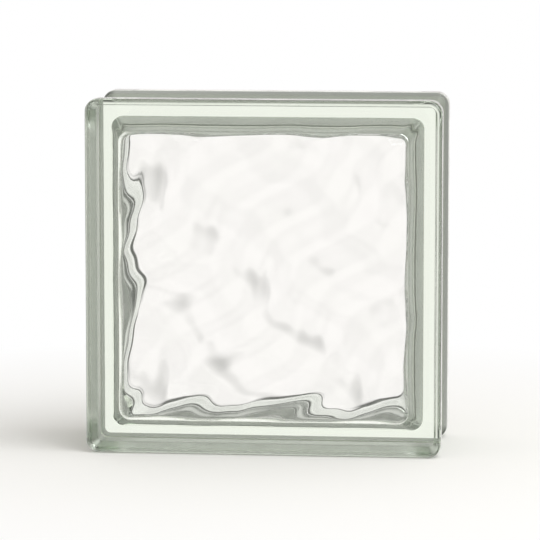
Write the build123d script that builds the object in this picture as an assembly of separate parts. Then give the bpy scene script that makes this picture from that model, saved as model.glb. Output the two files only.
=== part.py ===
from build123d import *

# Hollow glass block for walls and windows: two pressed halves, each a face with four side
# walls, fused rim to rim into one piece of glass around a sealed hollow. Lengths are in
# millimetres and angles in degrees. The block stands on its lower edge: X is its width, Y
# its depth and Z its height, with the origin at the middle of the base. The front face
# looks along -Y. Each half is made lying down, with the seam in the XY plane, the face
# upwards and the block's height along Y.

import os
from math import cos, pi, radians, sin, tan

# Outside
FACE_SIZE = 190.0
DEPTH = 80.0
CORNER_RADIUS = 7.0
FACE_EDGE_RADIUS = 3.0

# Mortar channel round the four edges: each face has a flange, and between the two flanges
# the side walls are set back
FLANGE_THICKNESS = 13.0
CHANNEL_DEPTH = 4.5
CHANNEL_CORNER_RADIUS = 3.0
SHOULDER_RUN = 6.0
FLANGE_LIP_RADIUS = 1.5
CHANNEL_FOOT_RADIUS = 2.5

# Weld beads along the seam, one in the channel and one inside the hollow
OUTER_BEAD_HEIGHT = 2.0
OUTER_BEAD_HALF_WIDTH = 3.5
INNER_BEAD_HEIGHT = 1.2
INNER_BEAD_HALF_WIDTH = 2.5

# Sealed hollow. Its side walls lean well in towards the faces, so that the press can leave
# them. The fillet runs along the foot of the walls
FACE_THICKNESS = 7.0
SEAM_WALL_THICKNESS = 6.0
MOULD_DRAFT = 12.0
HOLLOW_CORNER_RADIUS = 6.0
HOLLOW_FILLET_RADIUS = 4.0

# Waves pressed into the inner side of each face: slanting swells whose crests meander. The
# fillet ends a little beyond the deepest wave, so the waves cut it off in a wavy line
SWELL_HEIGHT = 1.05
SWELL_LENGTH = 39.0
SWELL_BEARING = 45.0
MEANDER = 0.7
MEANDER_LENGTH = 74.0
CROSS_SWELL_HEIGHT = 0.25
CROSS_SWELL_LENGTH = 58.0
FILLET_ROOM = 0.2

# How finely the waves are sampled, and how far the sampled surface runs past the hollow
SAMPLE_SPACING = 6.0
SAMPLE_MARGIN = 5.0
SURFACE_TOLERANCE = 0.005

# The largest share of a wall or corner that a fillet takes, and how flat a flat edge is
FILLET_SHARE = 0.9
FLATNESS = 0.01

half_depth = DEPTH / 2
flange_foot = half_depth - FLANGE_THICKNESS
shoulder_foot = flange_foot - SHOULDER_RUN
channel_size = FACE_SIZE - 2 * CHANNEL_DEPTH
hollow_size = channel_size - 2 * SEAM_WALL_THICKNESS
floor_level = half_depth - FACE_THICKNESS
fillet_level = floor_level + SWELL_HEIGHT + CROSS_SWELL_HEIGHT + FILLET_ROOM
hollow_end_size = hollow_size - 2 * fillet_level * tan(radians(MOULD_DRAFT))
hollow_fillet = min(HOLLOW_FILLET_RADIUS, HOLLOW_CORNER_RADIUS * FILLET_SHARE)
outer_bead_fillet = min(OUTER_BEAD_HEIGHT, OUTER_BEAD_HALF_WIDTH * FILLET_SHARE)
inner_bead_fillet = min(INNER_BEAD_HEIGHT, INNER_BEAD_HALF_WIDTH) * FILLET_SHARE


def rounded_square(size, corner):
    """A square with rounded corners, centred on the seam plane."""
    return RectangleRounded(size, size, corner)


def rim(solid, level):
    """The edges of a solid that lie flat at one level, the whole way round it."""
    return solid.edges().filter_by(lambda e: all(abs(v.Z - level) < FLATNESS for v in e.vertices()))


def half_outside():
    """One half with no hollow: the face with its flange, the shoulder and the side walls."""
    plate = Pos(Z=flange_foot) * rounded_square(FACE_SIZE, CORNER_RADIUS)
    wall_section = rounded_square(channel_size, CHANNEL_CORNER_RADIUS)
    shoulder = loft([Pos(Z=shoulder_foot) * wall_section, plate], ruled=True)
    body = extrude(plate, FLANGE_THICKNESS) + shoulder + extrude(wall_section, shoulder_foot)
    body = fillet(rim(body, half_depth), FACE_EDGE_RADIUS)
    body = fillet(rim(body, flange_foot), FLANGE_LIP_RADIUS)
    return fillet(rim(body, shoulder_foot), CHANNEL_FOOT_RADIUS)


def outer_bead():
    """Half of the rounded bead that stands out of the channel's floor along the seam."""
    size = channel_size + 2 * OUTER_BEAD_HEIGHT
    plate = rounded_square(size, CHANNEL_CORNER_RADIUS + OUTER_BEAD_HEIGHT)
    bead = extrude(plate, OUTER_BEAD_HALF_WIDTH)
    return fillet(rim(bead, OUTER_BEAD_HALF_WIDTH), outer_bead_fillet)


def inner_bead():
    """Half of the rounded bead that stands into the hollow along the seam."""
    outer = rounded_square(hollow_size, HOLLOW_CORNER_RADIUS)
    corner = HOLLOW_CORNER_RADIUS - INNER_BEAD_HEIGHT
    inner = rounded_square(hollow_size - 2 * INNER_BEAD_HEIGHT, corner)
    ring = extrude(outer - inner, INNER_BEAD_HALF_WIDTH)
    crest = ring.faces().sort_by(Axis.Z)[-1].inner_wires()[0]
    return fillet(crest.edges(), inner_bead_fillet)


def wave_height(x, y):
    """How far the inner side of a face stands in or out of its mean level at one point."""
    bearing = radians(SWELL_BEARING)
    across = x * cos(bearing) - y * sin(bearing)
    along = x * sin(bearing) + y * cos(bearing)
    bend = MEANDER * sin(2 * pi * along / MEANDER_LENGTH)
    swell = SWELL_HEIGHT * sin(2 * pi * across / SWELL_LENGTH + bend)
    return swell + CROSS_SWELL_HEIGHT * sin(2 * pi * along / CROSS_SWELL_LENGTH)


def wave_surface():
    """The wavy inner side of a face as one smooth surface, a little wider than the hollow."""
    reach = hollow_size / 2 + SAMPLE_MARGIN
    count = round(2 * reach / SAMPLE_SPACING)
    places = [reach * (2 * i / count - 1) for i in range(count + 1)]
    rows = [[Vector(x, y, floor_level + wave_height(x, y)) for x in places] for y in places]
    return Face.make_surface_from_array_of_points(rows, SURFACE_TOLERANCE, min_deg=3, max_deg=3)


def half_hollow():
    """The hollow in one half: leaning walls with a fillet, cut off by the wavy face."""
    seam_section = rounded_square(hollow_size, HOLLOW_CORNER_RADIUS)
    end_section = Pos(Z=fillet_level) * rounded_square(hollow_end_size, HOLLOW_CORNER_RADIUS)
    space = loft([seam_section, end_section], ruled=True)
    space = fillet(rim(space, fillet_level), hollow_fillet)
    return space - Solid.extrude(wave_surface(), Vector(0, 0, FACE_THICKNESS))


def pressed_half():
    """One half as it leaves the press, with its share of the weld beads."""
    return half_outside() + outer_bead() - (half_hollow() - inner_bead())


def glass_block():
    """Both halves fused at the seam. They leave one mould, so the rear one faces backwards."""
    front = pressed_half()
    rear = Rot(0, 180, 0) * front
    return Pos(Z=FACE_SIZE / 2) * Rot(90, 0, 0) * (front + rear)


os.makedirs("parts", exist_ok=True)
block = glass_block()
export_step(block, "parts/glass_block.step")
print("glass_block", len(block.solids()), "solid,", round(block.volume), "mm3")
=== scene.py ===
"""The looks of a hollow pressed-glass building block, and the studio that it stands in.

The block is one piece of glass with two skins: the outside, which the mortar channel runs
round, and the wavy inside of the sealed hollow. Each skin is one closed surface, a profile
carried round a rounded square. Lengths are in metres and angles in degrees.
"""

import logging
from dataclasses import dataclass
from enum import Enum
from math import cos, pi, radians, sin, tan
from typing import Any, Iterator, Mapping, Optional, Sequence, Union

import bpy
import numpy as np
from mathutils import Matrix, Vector


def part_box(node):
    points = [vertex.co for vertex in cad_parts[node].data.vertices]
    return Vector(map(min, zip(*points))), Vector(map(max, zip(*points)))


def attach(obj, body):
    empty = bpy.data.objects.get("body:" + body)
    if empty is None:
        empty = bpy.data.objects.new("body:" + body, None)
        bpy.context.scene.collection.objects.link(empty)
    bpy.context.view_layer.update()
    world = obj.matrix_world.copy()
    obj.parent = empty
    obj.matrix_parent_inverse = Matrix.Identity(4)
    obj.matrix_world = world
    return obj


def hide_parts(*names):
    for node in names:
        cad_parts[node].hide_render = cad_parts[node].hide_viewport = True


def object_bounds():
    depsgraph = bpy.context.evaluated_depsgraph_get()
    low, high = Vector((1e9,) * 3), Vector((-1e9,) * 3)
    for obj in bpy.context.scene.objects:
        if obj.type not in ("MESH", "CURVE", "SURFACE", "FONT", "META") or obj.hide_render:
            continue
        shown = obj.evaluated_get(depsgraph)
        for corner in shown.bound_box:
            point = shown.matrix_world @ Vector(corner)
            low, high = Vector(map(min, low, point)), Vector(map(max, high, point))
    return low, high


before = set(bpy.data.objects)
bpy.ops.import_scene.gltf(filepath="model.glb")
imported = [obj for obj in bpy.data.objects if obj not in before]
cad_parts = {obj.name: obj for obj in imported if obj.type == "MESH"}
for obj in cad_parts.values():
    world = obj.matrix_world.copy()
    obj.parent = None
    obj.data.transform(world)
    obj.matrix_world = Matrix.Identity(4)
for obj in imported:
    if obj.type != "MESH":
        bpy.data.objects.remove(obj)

Array = np.ndarray
Colour = tuple[float, float, float, float]
Triple = tuple[float, float, float]

CAD_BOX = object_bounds()
NODE = "glass_block"
PIECE = "pressed_glass_block"
BODY = "root"
WHITE: Colour = (1.0, 1.0, 1.0, 1.0)

# A Mix node's sockets for colours, which have the same names as those for numbers
MIX_FIRST_COLOUR = 6
MIX_SECOND_COLOUR = 7
MIX_COLOUR = 2

log = logging.getLogger("glass block")


class Half(Enum):
    """Which of the two pressed halves: the sign of its side of the seam along Y."""

    FRONT = -1
    REAR = 1


class Ray(Enum):
    """The kinds of ray that the studio tells apart: the name of each one's Light Path socket."""

    CAMERA = "Is Camera Ray"
    GLOSSY = "Is Glossy Ray"
    THROUGH = "Is Transmission Ray"


class Value:
    """What a node gives: a number, a vector, a colour or a shader.

    Arithmetic on numbers adds Math nodes.
    """

    def __init__(self, shader: "Shader", socket: Optional[bpy.types.NodeSocket]) -> None:
        """Wrap a node's output socket, or None for a node that has none."""
        self.shader = shader
        self.socket = socket

    def _math(self, operation: str, first: "Number", second: "Number") -> "Value":
        """The result of one Math node with this operation and these two operands."""
        return self.shader.node("ShaderNodeMath", {"operation": operation}, {0: first, 1: second})

    def __add__(self, other: "Number") -> "Value":
        """Self plus other."""
        return self._math("ADD", self, other)

    def __radd__(self, other: "Number") -> "Value":
        """Other plus self."""
        return self._math("ADD", other, self)

    def __sub__(self, other: "Number") -> "Value":
        """Self minus other."""
        return self._math("SUBTRACT", self, other)

    def __rsub__(self, other: "Number") -> "Value":
        """Other minus self."""
        return self._math("SUBTRACT", other, self)

    def __mul__(self, other: "Number") -> "Value":
        """Self times other."""
        return self._math("MULTIPLY", self, other)

    def __rmul__(self, other: "Number") -> "Value":
        """Other times self."""
        return self._math("MULTIPLY", other, self)

    def __truediv__(self, other: "Number") -> "Value":
        """Self divided by other."""
        return self._math("DIVIDE", self, other)

    def __rtruediv__(self, other: "Number") -> "Value":
        """Other divided by self."""
        return self._math("DIVIDE", other, self)

    def clamped(self) -> "Value":
        """Self, held between 0 and 1."""
        return self.shader.node("ShaderNodeClamp", {}, {"Value": self})

    def ramp(self, start: float, end: float) -> "Value":
        """A share that runs evenly from 0 at the start to 1 at the end, held beyond them."""
        return ((self - start) / (end - start)).clamped()

    def at_least(self, other: "Number") -> "Value":
        """The larger of self and other."""
        return self._math("MAXIMUM", self, other)

    def size(self) -> "Value":
        """Self without its sign."""
        return self._math("ABSOLUTE", self, 0.0)


Number = Union[Value, float]
Tint = Union[Value, Colour]


class Shader:
    """The nodes of one material or of the world."""

    def __init__(self, owner: Union[bpy.types.Material, bpy.types.World]) -> None:
        """Switch the owner to nodes and empty its tree.

        Args:
            owner: The material or world to shade.
        """
        owner.use_nodes = True
        self.tree = owner.node_tree
        self.tree.nodes.clear()

    def node(
        self,
        kind: str,
        settings: Mapping[str, Any],
        inputs: Mapping[Union[str, int], Any],
        output: Union[str, int] = 0,
    ) -> Value:
        """Add a node: its settings first, then the values or links of its sockets.

        Args:
            kind: The node's type.
            settings: The node's own properties.
            inputs: A number, a colour or another node's output for each socket.
            output: The socket that the result stands for.

        Returns:
            The chosen output of the new node.
        """
        node = self.tree.nodes.new(kind)
        for name, setting in settings.items():
            setattr(node, name, setting)
        for name, given in inputs.items():
            if isinstance(given, Value):
                self.tree.links.new(given.socket, node.inputs[name])
            else:
                node.inputs[name].default_value = given
        return Value(self, node.outputs[output] if node.outputs else None)

    def blend(self, share: Value, first: Tint, second: Tint) -> Value:
        """A colour that goes from the first to the second as the share goes from 0 to 1."""
        inputs = {0: share, MIX_FIRST_COLOUR: first, MIX_SECOND_COLOUR: second}
        return self.node("ShaderNodeMix", {"data_type": "RGBA"}, inputs, MIX_COLOUR)

    def mixed(self, share: Value, first: Value, second: Value) -> Value:
        """A shader that goes from the first to the second as the share goes from 0 to 1."""
        return self.node("ShaderNodeMixShader", {}, {0: share, 1: first, 2: second})

    def axes(self, vector: Value) -> Iterator[Value]:
        """The X, Y and Z of a vector, one after another."""
        for axis in "XYZ":
            yield self.node("ShaderNodeSeparateXYZ", {}, {"Vector": vector}, axis)

    def rays(self, kind: Ray) -> Value:
        """One for the rays of one kind, and else zero."""
        return self.node("ShaderNodeLightPath", {}, {}, kind.value)

    def glass_rays(self) -> Value:
        """One for what shows in gloss or through glass, and else zero."""
        return self.rays(Ray.GLOSSY).at_least(self.rays(Ray.THROUGH))


@dataclass(frozen=True)
class PressedGlass:
    """Clear soda-lime glass with a pale green cast, fire-polished after the press.

    The fields that start with keyed are for the matt glass of the mortar channel. It reaches
    keyed_edge to both sides of the seam, and lies between keyed_shallow and keyed_deep below
    the rim of the flanges.
    """

    clear: Colour = WHITE
    refractive_index: float = 1.52
    absorbed: Colour = (0.60, 0.82, 0.52, 1.0)
    density: float = 4.0
    mould_grain: float = 90.0
    mould_grain_detail: float = 2.0
    mould_grain_height: float = 0.00002
    flow: float = 24.0
    flow_detail: float = 1.0
    flow_height: float = 0.00006
    keyed_tint: Colour = (0.86, 0.92, 0.79, 1.0)
    keyed_roughness: float = 0.4
    keyed_edge: float = 0.026
    keyed_shallow: float = 0.0012
    keyed_deep: float = 0.0085
    keyed_blend: float = 0.001

    def material(self) -> bpy.types.Material:
        """Make the glass.

        The relief is a fine noise for the grain of the mould plus a broad one for the flow of
        the glass, each times its height in metres.

        Returns:
            A material whose surface bends light and whose inside takes out a little red and
            blue, so that the long way through a wall is greener than the short one through
            a face.
        """
        material = bpy.data.materials.new("pressed_glass")
        shader = Shader(material)
        place = shader.node("ShaderNodeTexCoord", {}, {}, "Object")
        grain = shader.node(
            "ShaderNodeTexNoise",
            {},
            {"Vector": place, "Scale": self.mould_grain, "Detail": self.mould_grain_detail},
        )
        flow = shader.node(
            "ShaderNodeTexNoise",
            {},
            {"Vector": place, "Scale": self.flow, "Detail": self.flow_detail},
        )
        height = grain * self.mould_grain_height + flow * self.flow_height
        relief = shader.node(
            "ShaderNodeBump", {}, {"Strength": 1.0, "Distance": 1.0, "Height": height}
        )
        keyed = self.keyed(shader, place)
        tint = shader.blend(keyed, self.clear, self.keyed_tint)
        surface = shader.node(
            "ShaderNodeBsdfPrincipled",
            {},
            {
                "Base Color": tint,
                "Roughness": keyed * self.keyed_roughness,
                "IOR": self.refractive_index,
                "Transmission Weight": 1.0,
                "Normal": relief,
            },
        )
        inside = shader.node(
            "ShaderNodeVolumeAbsorption", {}, {"Color": self.absorbed, "Density": self.density}
        )
        shader.node("ShaderNodeOutputMaterial", {}, {"Surface": surface, "Volume": inside})
        return material

    def keyed(self, shader: Shader, place: Value) -> Value:
        """Find the floor of the mortar channel, which the press leaves matt.

        Args:
            shader: The glass's node tree.
            place: Object coordinates.

        Returns:
            One in the channel between the flanges, zero elsewhere, with a soft edge.
        """
        middle = (Vector(CAD_BOX[0]) + Vector(CAD_BOX[1])) / 2
        half = (CAD_BOX[1][0] - CAD_BOX[0][0]) / 2
        x, y, z = ((part - centre).size() for part, centre in zip(shader.axes(place), middle))
        inset = half - x.at_least(z)
        within_flanges = y.ramp(self.keyed_edge, self.keyed_edge - self.keyed_blend)
        below_lip = inset.ramp(self.keyed_shallow, self.keyed_shallow + self.keyed_blend)
        outside_hollow = inset.ramp(self.keyed_deep, self.keyed_deep - self.keyed_blend)
        return within_flanges * below_lip * outside_hollow


def rounded_polyline(corners: Array, radii: Sequence[float], steps: int) -> Array:
    """Round the corners of a line with arcs that touch both of its sides.

    The middle of an arc lies on the bisector of its corner, at the radius divided by the sine
    of half the corner's angle. Its points turn evenly from one side's foot to the other's.

    Args:
        corners: The line's points, one to a row. The two ends stay where they are.
        radii: The radius at each point between the ends.
        steps: The steps in each arc.

    Returns:
        The points of the rounded line.
    """
    radius = np.asarray(radii)[:, None]
    corner = corners[1:-1]
    back = corners[:-2] - corner
    ahead = corners[2:] - corner
    back = back / np.linalg.norm(back, axis=1, keepdims=True)
    ahead = ahead / np.linalg.norm(ahead, axis=1, keepdims=True)
    half_angle = np.arccos(np.clip((back * ahead).sum(axis=1, keepdims=True), -1, 1)) / 2
    bisector = (back + ahead) / np.linalg.norm(back + ahead, axis=1, keepdims=True)
    middle = corner + bisector * radius / np.sin(half_angle)
    foot = radius / np.tan(half_angle)
    start = (corner + back * foot - middle)[:, None]
    end = (corner + ahead * foot - middle)[:, None]
    turn = (pi - 2 * half_angle)[:, None]
    share = np.linspace(0, 1, steps + 1)[None, :, None]
    spoke = (np.sin((1 - share) * turn) * start + np.sin(share * turn) * end) / np.sin(turn)
    arcs = middle[:, None] + spoke
    return np.concatenate([corners[:1], arcs.reshape(-1, 2), corners[-1:]])


@dataclass(frozen=True)
class RoundedSquare:
    """A path of four sides and four round corners, which every ring of a skin follows."""

    side_steps: int
    corner_steps: int

    def _quarters(self, side: Array, corner: Array) -> Array:
        """One side and the corner after it, turned by quarters round the whole path.

        Args:
            side: Points of the first side.
            corner: Points of the first corner.

        Returns:
            The points of the whole path.
        """
        quarter = np.concatenate([side, corner])
        quarter_turn = np.array([[0, 1], [-1, 0]])
        turns = [np.linalg.matrix_power(quarter_turn, count) for count in range(4)]
        return np.concatenate([quarter @ turn for turn in turns])

    def rings(self, half: Array, corner: Array) -> Array:
        """Rounded squares: a square core, grown outwards by the corner's radius.

        Args:
            half: Half the width of each ring.
            corner: The corner radius of each ring.

        Returns:
            The rings' points, as rings by places by the two directions across the block.
        """
        along = np.linspace(-1, 1, self.side_steps + 1)
        angle = np.linspace(0, pi / 2, self.corner_steps + 1)[1:-1]
        core = self._quarters(np.stack([np.ones_like(along), along], 1), np.ones((len(angle), 2)))
        outward = self._quarters(
            np.stack([np.ones_like(along), np.zeros_like(along)], 1),
            np.stack([np.cos(angle), np.sin(angle)], 1),
        )
        return (half - corner)[:, None, None] * core + corner[:, None, None] * outward


@dataclass(frozen=True)
class Waves:
    """Swells that the press leaves on the inner side of a face, with a finer flow on them."""

    height: float = 0.00105
    length: float = 0.039
    bearing: float = 45.0
    meander: float = 0.7
    meander_length: float = 0.074
    cross_height: float = 0.00025
    cross_length: float = 0.058
    flow_height: float = 0.00012
    flow_length: float = 0.0135
    flow_sway: float = 3.0
    patch_length: float = 0.047
    patch_sway: float = 2.0

    def relief(self, x: Array, z: Array) -> Array:
        """How far the glass stands back from the mean level at each point.

        The swell is a sine across the bearing whose phase sways along it. A low sine along
        the bearing is added, and a short ripple that comes and goes along the crests.

        Args:
            x: Places across the half, seen from inside it.
            z: Places above the block's middle.

        Returns:
            The height of the waves.
        """
        bearing = radians(self.bearing)
        across = x * cos(bearing) - z * sin(bearing)
        along = x * sin(bearing) + z * cos(bearing)
        sway = self.meander * np.sin(2 * pi * along / self.meander_length)
        swell = self.height * np.sin(2 * pi * across / self.length + sway)
        cross = self.cross_height * np.sin(2 * pi * along / self.cross_length)
        patch = np.sin(2 * pi * along / self.patch_length + self.patch_sway * sway)
        ripple = np.sin(2 * pi * across / self.flow_length + self.flow_sway * sway)
        return swell + cross + self.flow_height * patch * ripple


def soft_lower(first: Array, second: Array, blend: Array) -> Array:
    """The lower of two heights, rounded where they cross.

    Their mean less half of the root of their difference squared plus the blend squared.

    Args:
        first: The first heights.
        second: The second heights.
        blend: How far the rounding reaches in height.

    Returns:
        The blended heights.
    """
    return (first + second - np.sqrt((first - second) ** 2 + blend**2)) / 2


@dataclass(frozen=True)
class Skin:
    """One closed surface: a pole, rings from the front face to the rear face, and a pole."""

    rings: Array
    front_pole: Array
    rear_pole: Array

    def points(self) -> Array:
        """Both poles and every ring's points, one to a row."""
        flat = self.rings.reshape(-1, 3)
        return np.concatenate([self.front_pole[None], flat, self.rear_pole[None]])

    def faces(self, first: int, outwards: bool) -> list[list[int]]:
        """Quads between the rings and triangles round the poles.

        Args:
            first: The number of the skin's first point in the mesh.
            outwards: Whether the faces look away from the skin's middle.

        Returns:
            The corners of each face.
        """
        count, around = self.rings.shape[:2]
        number = 1 + np.arange(count * around).reshape(count, around)
        onward = np.roll(number, -1, axis=1)
        quads = np.stack([number[:-1], number[1:], onward[1:], onward[:-1]], -1).reshape(-1, 4)
        front = np.stack([np.zeros_like(number[0]), number[0], onward[0]], -1)
        rear = np.stack([np.full_like(number[0], count * around + 1), onward[-1], number[-1]], -1)
        turn = slice(None) if outwards else slice(None, None, -1)
        return [
            face
            for group in (quads, front, rear)
            for face in (group[:, turn] + first).tolist()
        ]


@dataclass
class GlassBlock:
    """The block: its outside with the mortar channel, and the wavy inside of its hollow.

    The field run_out is how far a profile goes on past its last corner, in radii of that corner.
    """

    flange_thickness: float = 0.013
    corner: float = 0.007
    face_edge: float = 0.003
    flange_lip: float = 0.0015
    channel_depth: float = 0.0045
    channel_corner: float = 0.003
    channel_foot: float = 0.0025
    shoulder_run: float = 0.006
    outer_bead_height: float = 0.002
    outer_bead_half_width: float = 0.0035
    outer_bead_round: float = 0.0016
    outer_bead_foot: float = 0.0003
    wall: float = 0.006
    face: float = 0.007
    draft: float = 12.0
    hollow_corner: float = 0.006
    hollow_fillet: float = 0.004
    inner_bead_height: float = 0.0012
    inner_bead_half_width: float = 0.0025
    inner_bead_round: float = 0.0007
    inner_bead_foot: float = 0.00035
    crest_room: float = 0.0015
    crease: float = 0.0011
    run_out: float = 2.0
    waves: Waves = Waves()
    arc_steps: int = 8
    fillet_steps: int = 24
    floor_rings: int = 50
    outside_path: RoundedSquare = RoundedSquare(side_steps=1, corner_steps=16)
    hollow_path: RoundedSquare = RoundedSquare(side_steps=96, corner_steps=8)

    def __post_init__(self) -> None:
        """Take the outer size and the middle from the frame."""
        low, high = (np.array(corner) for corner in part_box(NODE))
        self.half_width, self.half_depth, _ = (high - low) / 2
        self.middle = (high + low) / 2

    def _placed(self, across: Array, depth: Array) -> Array:
        """Points in the frame, from places across the block's middle and depths from its seam."""
        points = np.stack([across[..., 0], depth, across[..., 1]], -1)
        return points + self.middle

    def outside(self) -> Skin:
        """The outer skin.

        From the seam outwards the profile runs over the bead, along the channel's floor, up
        the shoulder, along the flange and round the edge of the face. The other half mirrors it.

        Returns:
            The closed outer surface.
        """
        foot = self.half_depth - self.flange_thickness
        bead = self.outer_bead_half_width
        crest = self.channel_depth - self.outer_bead_height
        corners = np.array(
            [
                (crest, 0.0),
                (crest, bead),
                (self.channel_depth, bead),
                (self.channel_depth, foot - self.shoulder_run),
                (0.0, foot),
                (0.0, self.half_depth),
                (self.run_out * self.face_edge, self.half_depth),
            ]
        )
        radii = (
            self.outer_bead_round,
            self.outer_bead_foot,
            self.channel_foot,
            self.flange_lip,
            self.face_edge,
        )
        inset, depth = rounded_polyline(corners, radii, self.arc_steps).T
        inset = np.concatenate([inset[::-1], inset[1:]])
        depth = np.concatenate([-depth[::-1], depth[1:]])
        channel_corner = self.channel_corner + self.channel_depth
        shoulder = (foot - self.shoulder_run, foot)
        corner = np.interp(np.abs(depth), shoulder, (channel_corner, self.corner)) - inset
        across = self.outside_path.rings(self.half_width - inset, corner)
        rings = self._placed(across, np.broadcast_to(depth[:, None], across.shape[:2]))
        pole = np.array([0.0, self.half_depth, 0.0])
        return Skin(rings, self.middle - pole, self.middle + pole)

    def _half_hollow(self, half: Half) -> tuple[Array, Array]:
        """Rings of the hollow in one half, from the seam to the middle of the face.

        The profile runs over the bead, up the leaning wall and round the fillet, and its flat
        end shrinks evenly to the middle. The corner's radius is the same all the way up the
        wall, and falls by as much as the bead or the fillet stands in from it. The lower of
        this shape and the wavy face is the hollow, so the waves cut the fillet off. The crease
        where they meet is rounded, and the rounding dies out before the flat end.

        Args:
            half: The front or the rear half.

        Returns:
            The rings' points across the block, and their depths from the seam.
        """
        seam = self.half_width - self.channel_depth - self.wall
        level = self.half_depth - self.face
        top = level + self.crest_room
        lean = tan(radians(self.draft))
        bead = self.inner_bead_half_width
        corners = np.array(
            [
                (self.inner_bead_height, 0.0),
                (self.inner_bead_height, bead),
                (bead * lean, bead),
                (top * lean, top),
                (top * lean + self.run_out * self.hollow_fillet, top),
            ]
        )
        bead_radii = (self.inner_bead_round, self.inner_bead_foot)
        beads = rounded_polyline(corners[:4], bead_radii, self.arc_steps)
        fillet = rounded_polyline(corners[2:], (self.hollow_fillet,), self.fillet_steps)
        inset, depth = np.concatenate([beads[:-1], fillet[1:-1]]).T
        shrink = np.linspace(1, 0, self.floor_rings + 1)[1:-1]
        corner = self.hollow_corner - (inset - depth * lean)
        width = np.concatenate([seam - inset, (seam - inset[-1]) * shrink])
        corner = np.concatenate([corner, corner[-1] * shrink])
        depth = np.concatenate([depth, np.full(len(shrink), top)])
        crease = np.minimum(top - depth, self.crease)
        across = self.hollow_path.rings(width, corner)
        wave = level + self.waves.relief(-half.value * across[..., 0], across[..., 1])
        return across, half.value * soft_lower(depth[:, None], wave, crease[:, None])

    def hollow(self) -> Skin:
        """The inner skin: both halves of the hollow, joined at the seam.

        Returns:
            The closed surface of the hollow.
        """
        front, front_depth = self._half_hollow(Half.FRONT)
        rear, rear_depth = self._half_hollow(Half.REAR)
        across = np.concatenate([front[::-1], rear[1:]])
        depth = np.concatenate([front_depth[::-1], rear_depth[1:]])
        rings = self._placed(across, depth)
        return Skin(rings, rings[0].mean(axis=0), rings[-1].mean(axis=0))

    def build(self, glass: PressedGlass) -> bpy.types.Object:
        """Make the block of glass and let it stand for the CAD node.

        Args:
            glass: The finish of the whole block.

        Returns:
            The block.
        """
        outside, hollow = self.outside(), self.hollow()
        points = np.concatenate([outside.points(), hollow.points()])
        faces = outside.faces(0, True) + hollow.faces(len(outside.points()), False)
        mesh = bpy.data.meshes.new(PIECE)
        mesh.from_pydata(points.tolist(), [], faces)
        mesh.shade_smooth()
        mesh.materials.append(glass.material())
        block = bpy.data.objects.new(PIECE, mesh)
        bpy.context.scene.collection.objects.link(block)
        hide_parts(NODE)
        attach(block, BODY)
        return block


@dataclass(frozen=True)
class PaleFloor:
    """Matt white paper that runs out into the white background."""

    colour: Colour = (0.92, 0.91, 0.89, 1.0)
    near: float = 0.09
    far: float = 0.40

    def material(self) -> bpy.types.Material:
        """Make the paper.

        Returns:
            A matt white that keeps shadows near the block and fades to plain white far away.
            The glass shows the light of the room in its place.
        """
        material = bpy.data.materials.new("pale_floor")
        shader = Shader(material)
        place = shader.node("ShaderNodeTexCoord", {}, {}, "Object")
        distance = shader.node(
            "ShaderNodeVectorMath", {"operation": "LENGTH"}, {0: place}, "Value"
        )
        away = distance.ramp(self.near, self.far)
        paper = shader.node("ShaderNodeBsdfDiffuse", {}, {"Color": self.colour})
        white = shader.node("ShaderNodeEmission", {}, {"Strength": 1.0})
        plain = shader.mixed(away * shader.rays(Ray.CAMERA), paper, white)
        room = shader.node("ShaderNodeBsdfTransparent", {}, {})
        surface = shader.mixed(shader.glass_rays(), plain, room)
        shader.node("ShaderNodeOutputMaterial", {}, {"Surface": surface})
        return material


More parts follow.
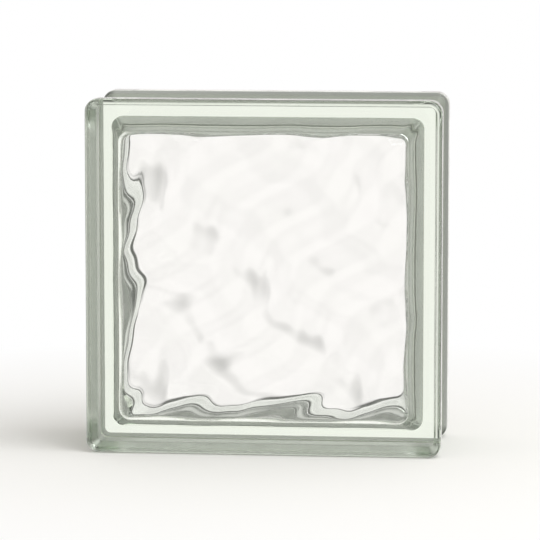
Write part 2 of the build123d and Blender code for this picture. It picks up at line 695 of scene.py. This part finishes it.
@dataclass
class Studio:
    """A pale floor, soft light, a white background and the camera.

    The edges of the white panel and of its dark frame are given as the size of the Y of a
    direction, which is one for a ray that runs straight through the block.
    """

    azimuth: float = 6.0
    elevation: float = 7.0
    distance: float = 1.9
    share_of_frame: float = 0.65
    sensor: float = 36.0
    floor_size: float = 12.0
    ahead_light: Colour = (1.0, 0.972, 0.96, 1.0)
    pale_side: Colour = (1.0, 1.0, 0.96, 1.0)
    dark_side: Colour = (0.30, 0.32, 0.28, 1.0)
    pale_share: float = 0.75
    side_spread: float = 2.0
    dark_frame: Colour = (0.08, 0.085, 0.075, 1.0)
    even_light: Colour = (1.0, 0.975, 0.93, 1.0)
    even_strength: float = 0.66
    full_white: float = 0.967
    edge_of_white: float = 0.90
    edge_of_frame: float = 0.83
    end_of_frame: float = 0.70
    key_light: Triple = (0.97, 0.99, 1.0)
    key_place: Triple = (0.9, -0.5, 1.5)
    key_size: float = 1.5
    key_power: float = 20.0

    def _floor(self) -> None:
        """Lay the floor at the foot of the block."""
        half = self.floor_size / 2
        level = CAD_BOX[0][2]
        corners = [
            (-half, -half, level),
            (half, -half, level),
            (half, half, level),
            (-half, half, level),
        ]
        mesh = bpy.data.meshes.new("floor")
        mesh.from_pydata(corners, [], [(0, 1, 2, 3)])
        mesh.materials.append(PaleFloor().material())
        floor = bpy.data.objects.new("floor", mesh)
        bpy.context.scene.collection.objects.link(floor)

    def _world(self) -> None:
        """Light the room.

        Matt surfaces get an even light. What is seen in or through the glass is a white panel
        before and behind the block, with a dark frame round it. Past the frame the room is
        pale, and darker only behind the block on its right and above it: the share of pale
        falls with the sum of the direction's X, Y and Z. The background itself is white.
        """
        world = bpy.data.worlds.new("studio")
        bpy.context.scene.world = world
        shader = Shader(world)
        x, y, z = shader.axes(shader.node("ShaderNodeTexCoord", {}, {}, "Generated"))
        pale = (self.pale_share - (x + y + z) / self.side_spread).clamped()
        sides = shader.blend(pale, self.dark_side, self.pale_side)
        ahead = y.size()
        in_frame = ahead.ramp(self.end_of_frame, self.edge_of_frame)
        framed = shader.blend(in_frame, sides, self.dark_frame)
        in_panel = ahead.ramp(self.edge_of_white, self.full_white)
        through = shader.blend(in_panel, framed, self.ahead_light)
        camera = shader.rays(Ray.CAMERA)
        seen = shader.blend(camera, through, WHITE)
        background = shader.node("ShaderNodeBackground", {}, {"Color": seen, "Strength": 1.0})
        even = shader.node(
            "ShaderNodeBackground", {}, {"Color": self.even_light, "Strength": self.even_strength}
        )
        shown = camera.at_least(shader.glass_rays())
        surface = shader.mixed(shown, even, background)
        shader.node("ShaderNodeOutputWorld", {}, {"Surface": surface})

    def _key_light(self, target: Vector) -> None:
        """Hang a large soft lamp high before the block, on its right.

        Args:
            target: The point that the lamp looks at.
        """
        lamp = bpy.data.lights.new("key", "AREA")
        lamp.size = self.key_size
        lamp.color = self.key_light
        lamp.energy = self.key_power
        light = bpy.data.objects.new("key", lamp)
        light.location = self.key_place
        light.rotation_euler = (target - light.location).to_track_quat("-Z", "Y").to_euler()
        bpy.context.scene.collection.objects.link(light)

    def _camera(self, target: Vector, width: float) -> None:
        """Set up the camera.

        Args:
            target: The point that the camera looks at.
            width: The width that fills its share of the frame.
        """
        azimuth, elevation = radians(self.azimuth), radians(self.elevation)
        back = Vector(
            (sin(azimuth) * cos(elevation), -cos(azimuth) * cos(elevation), sin(elevation))
        )
        data = bpy.data.cameras.new("camera")
        data.sensor_width = self.sensor
        data.lens = self.sensor * self.distance * self.share_of_frame / width
        camera = bpy.data.objects.new("camera", data)
        camera.location = target + back * self.distance
        camera.rotation_euler = back.to_track_quat("Z", "Y").to_euler()
        bpy.context.scene.collection.objects.link(camera)
        bpy.context.scene.camera = camera

    def build(self) -> None:
        """Set up the floor, the light and the camera round the block."""
        low, high = Vector(CAD_BOX[0]), Vector(CAD_BOX[1])
        middle = (low + high) / 2
        self._floor()
        self._world()
        self._key_light(middle)
        self._camera(middle, high.x - low.x)
        bpy.context.scene.view_settings.view_transform = "Standard"


def main() -> None:
    """Build the block and the studio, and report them."""
    logging.basicConfig(level=logging.INFO)
    block = GlassBlock().build(PressedGlass())
    mesh = block.data
    log.info("%s: %d points, %d faces", block.name, len(mesh.vertices), len(mesh.polygons))
    studio = Studio()
    studio.build()
    log.info("studio: camera at azimuth %.0f, elevation %.0f", studio.azimuth, studio.elevation)


if __name__ == "__main__":
    main()
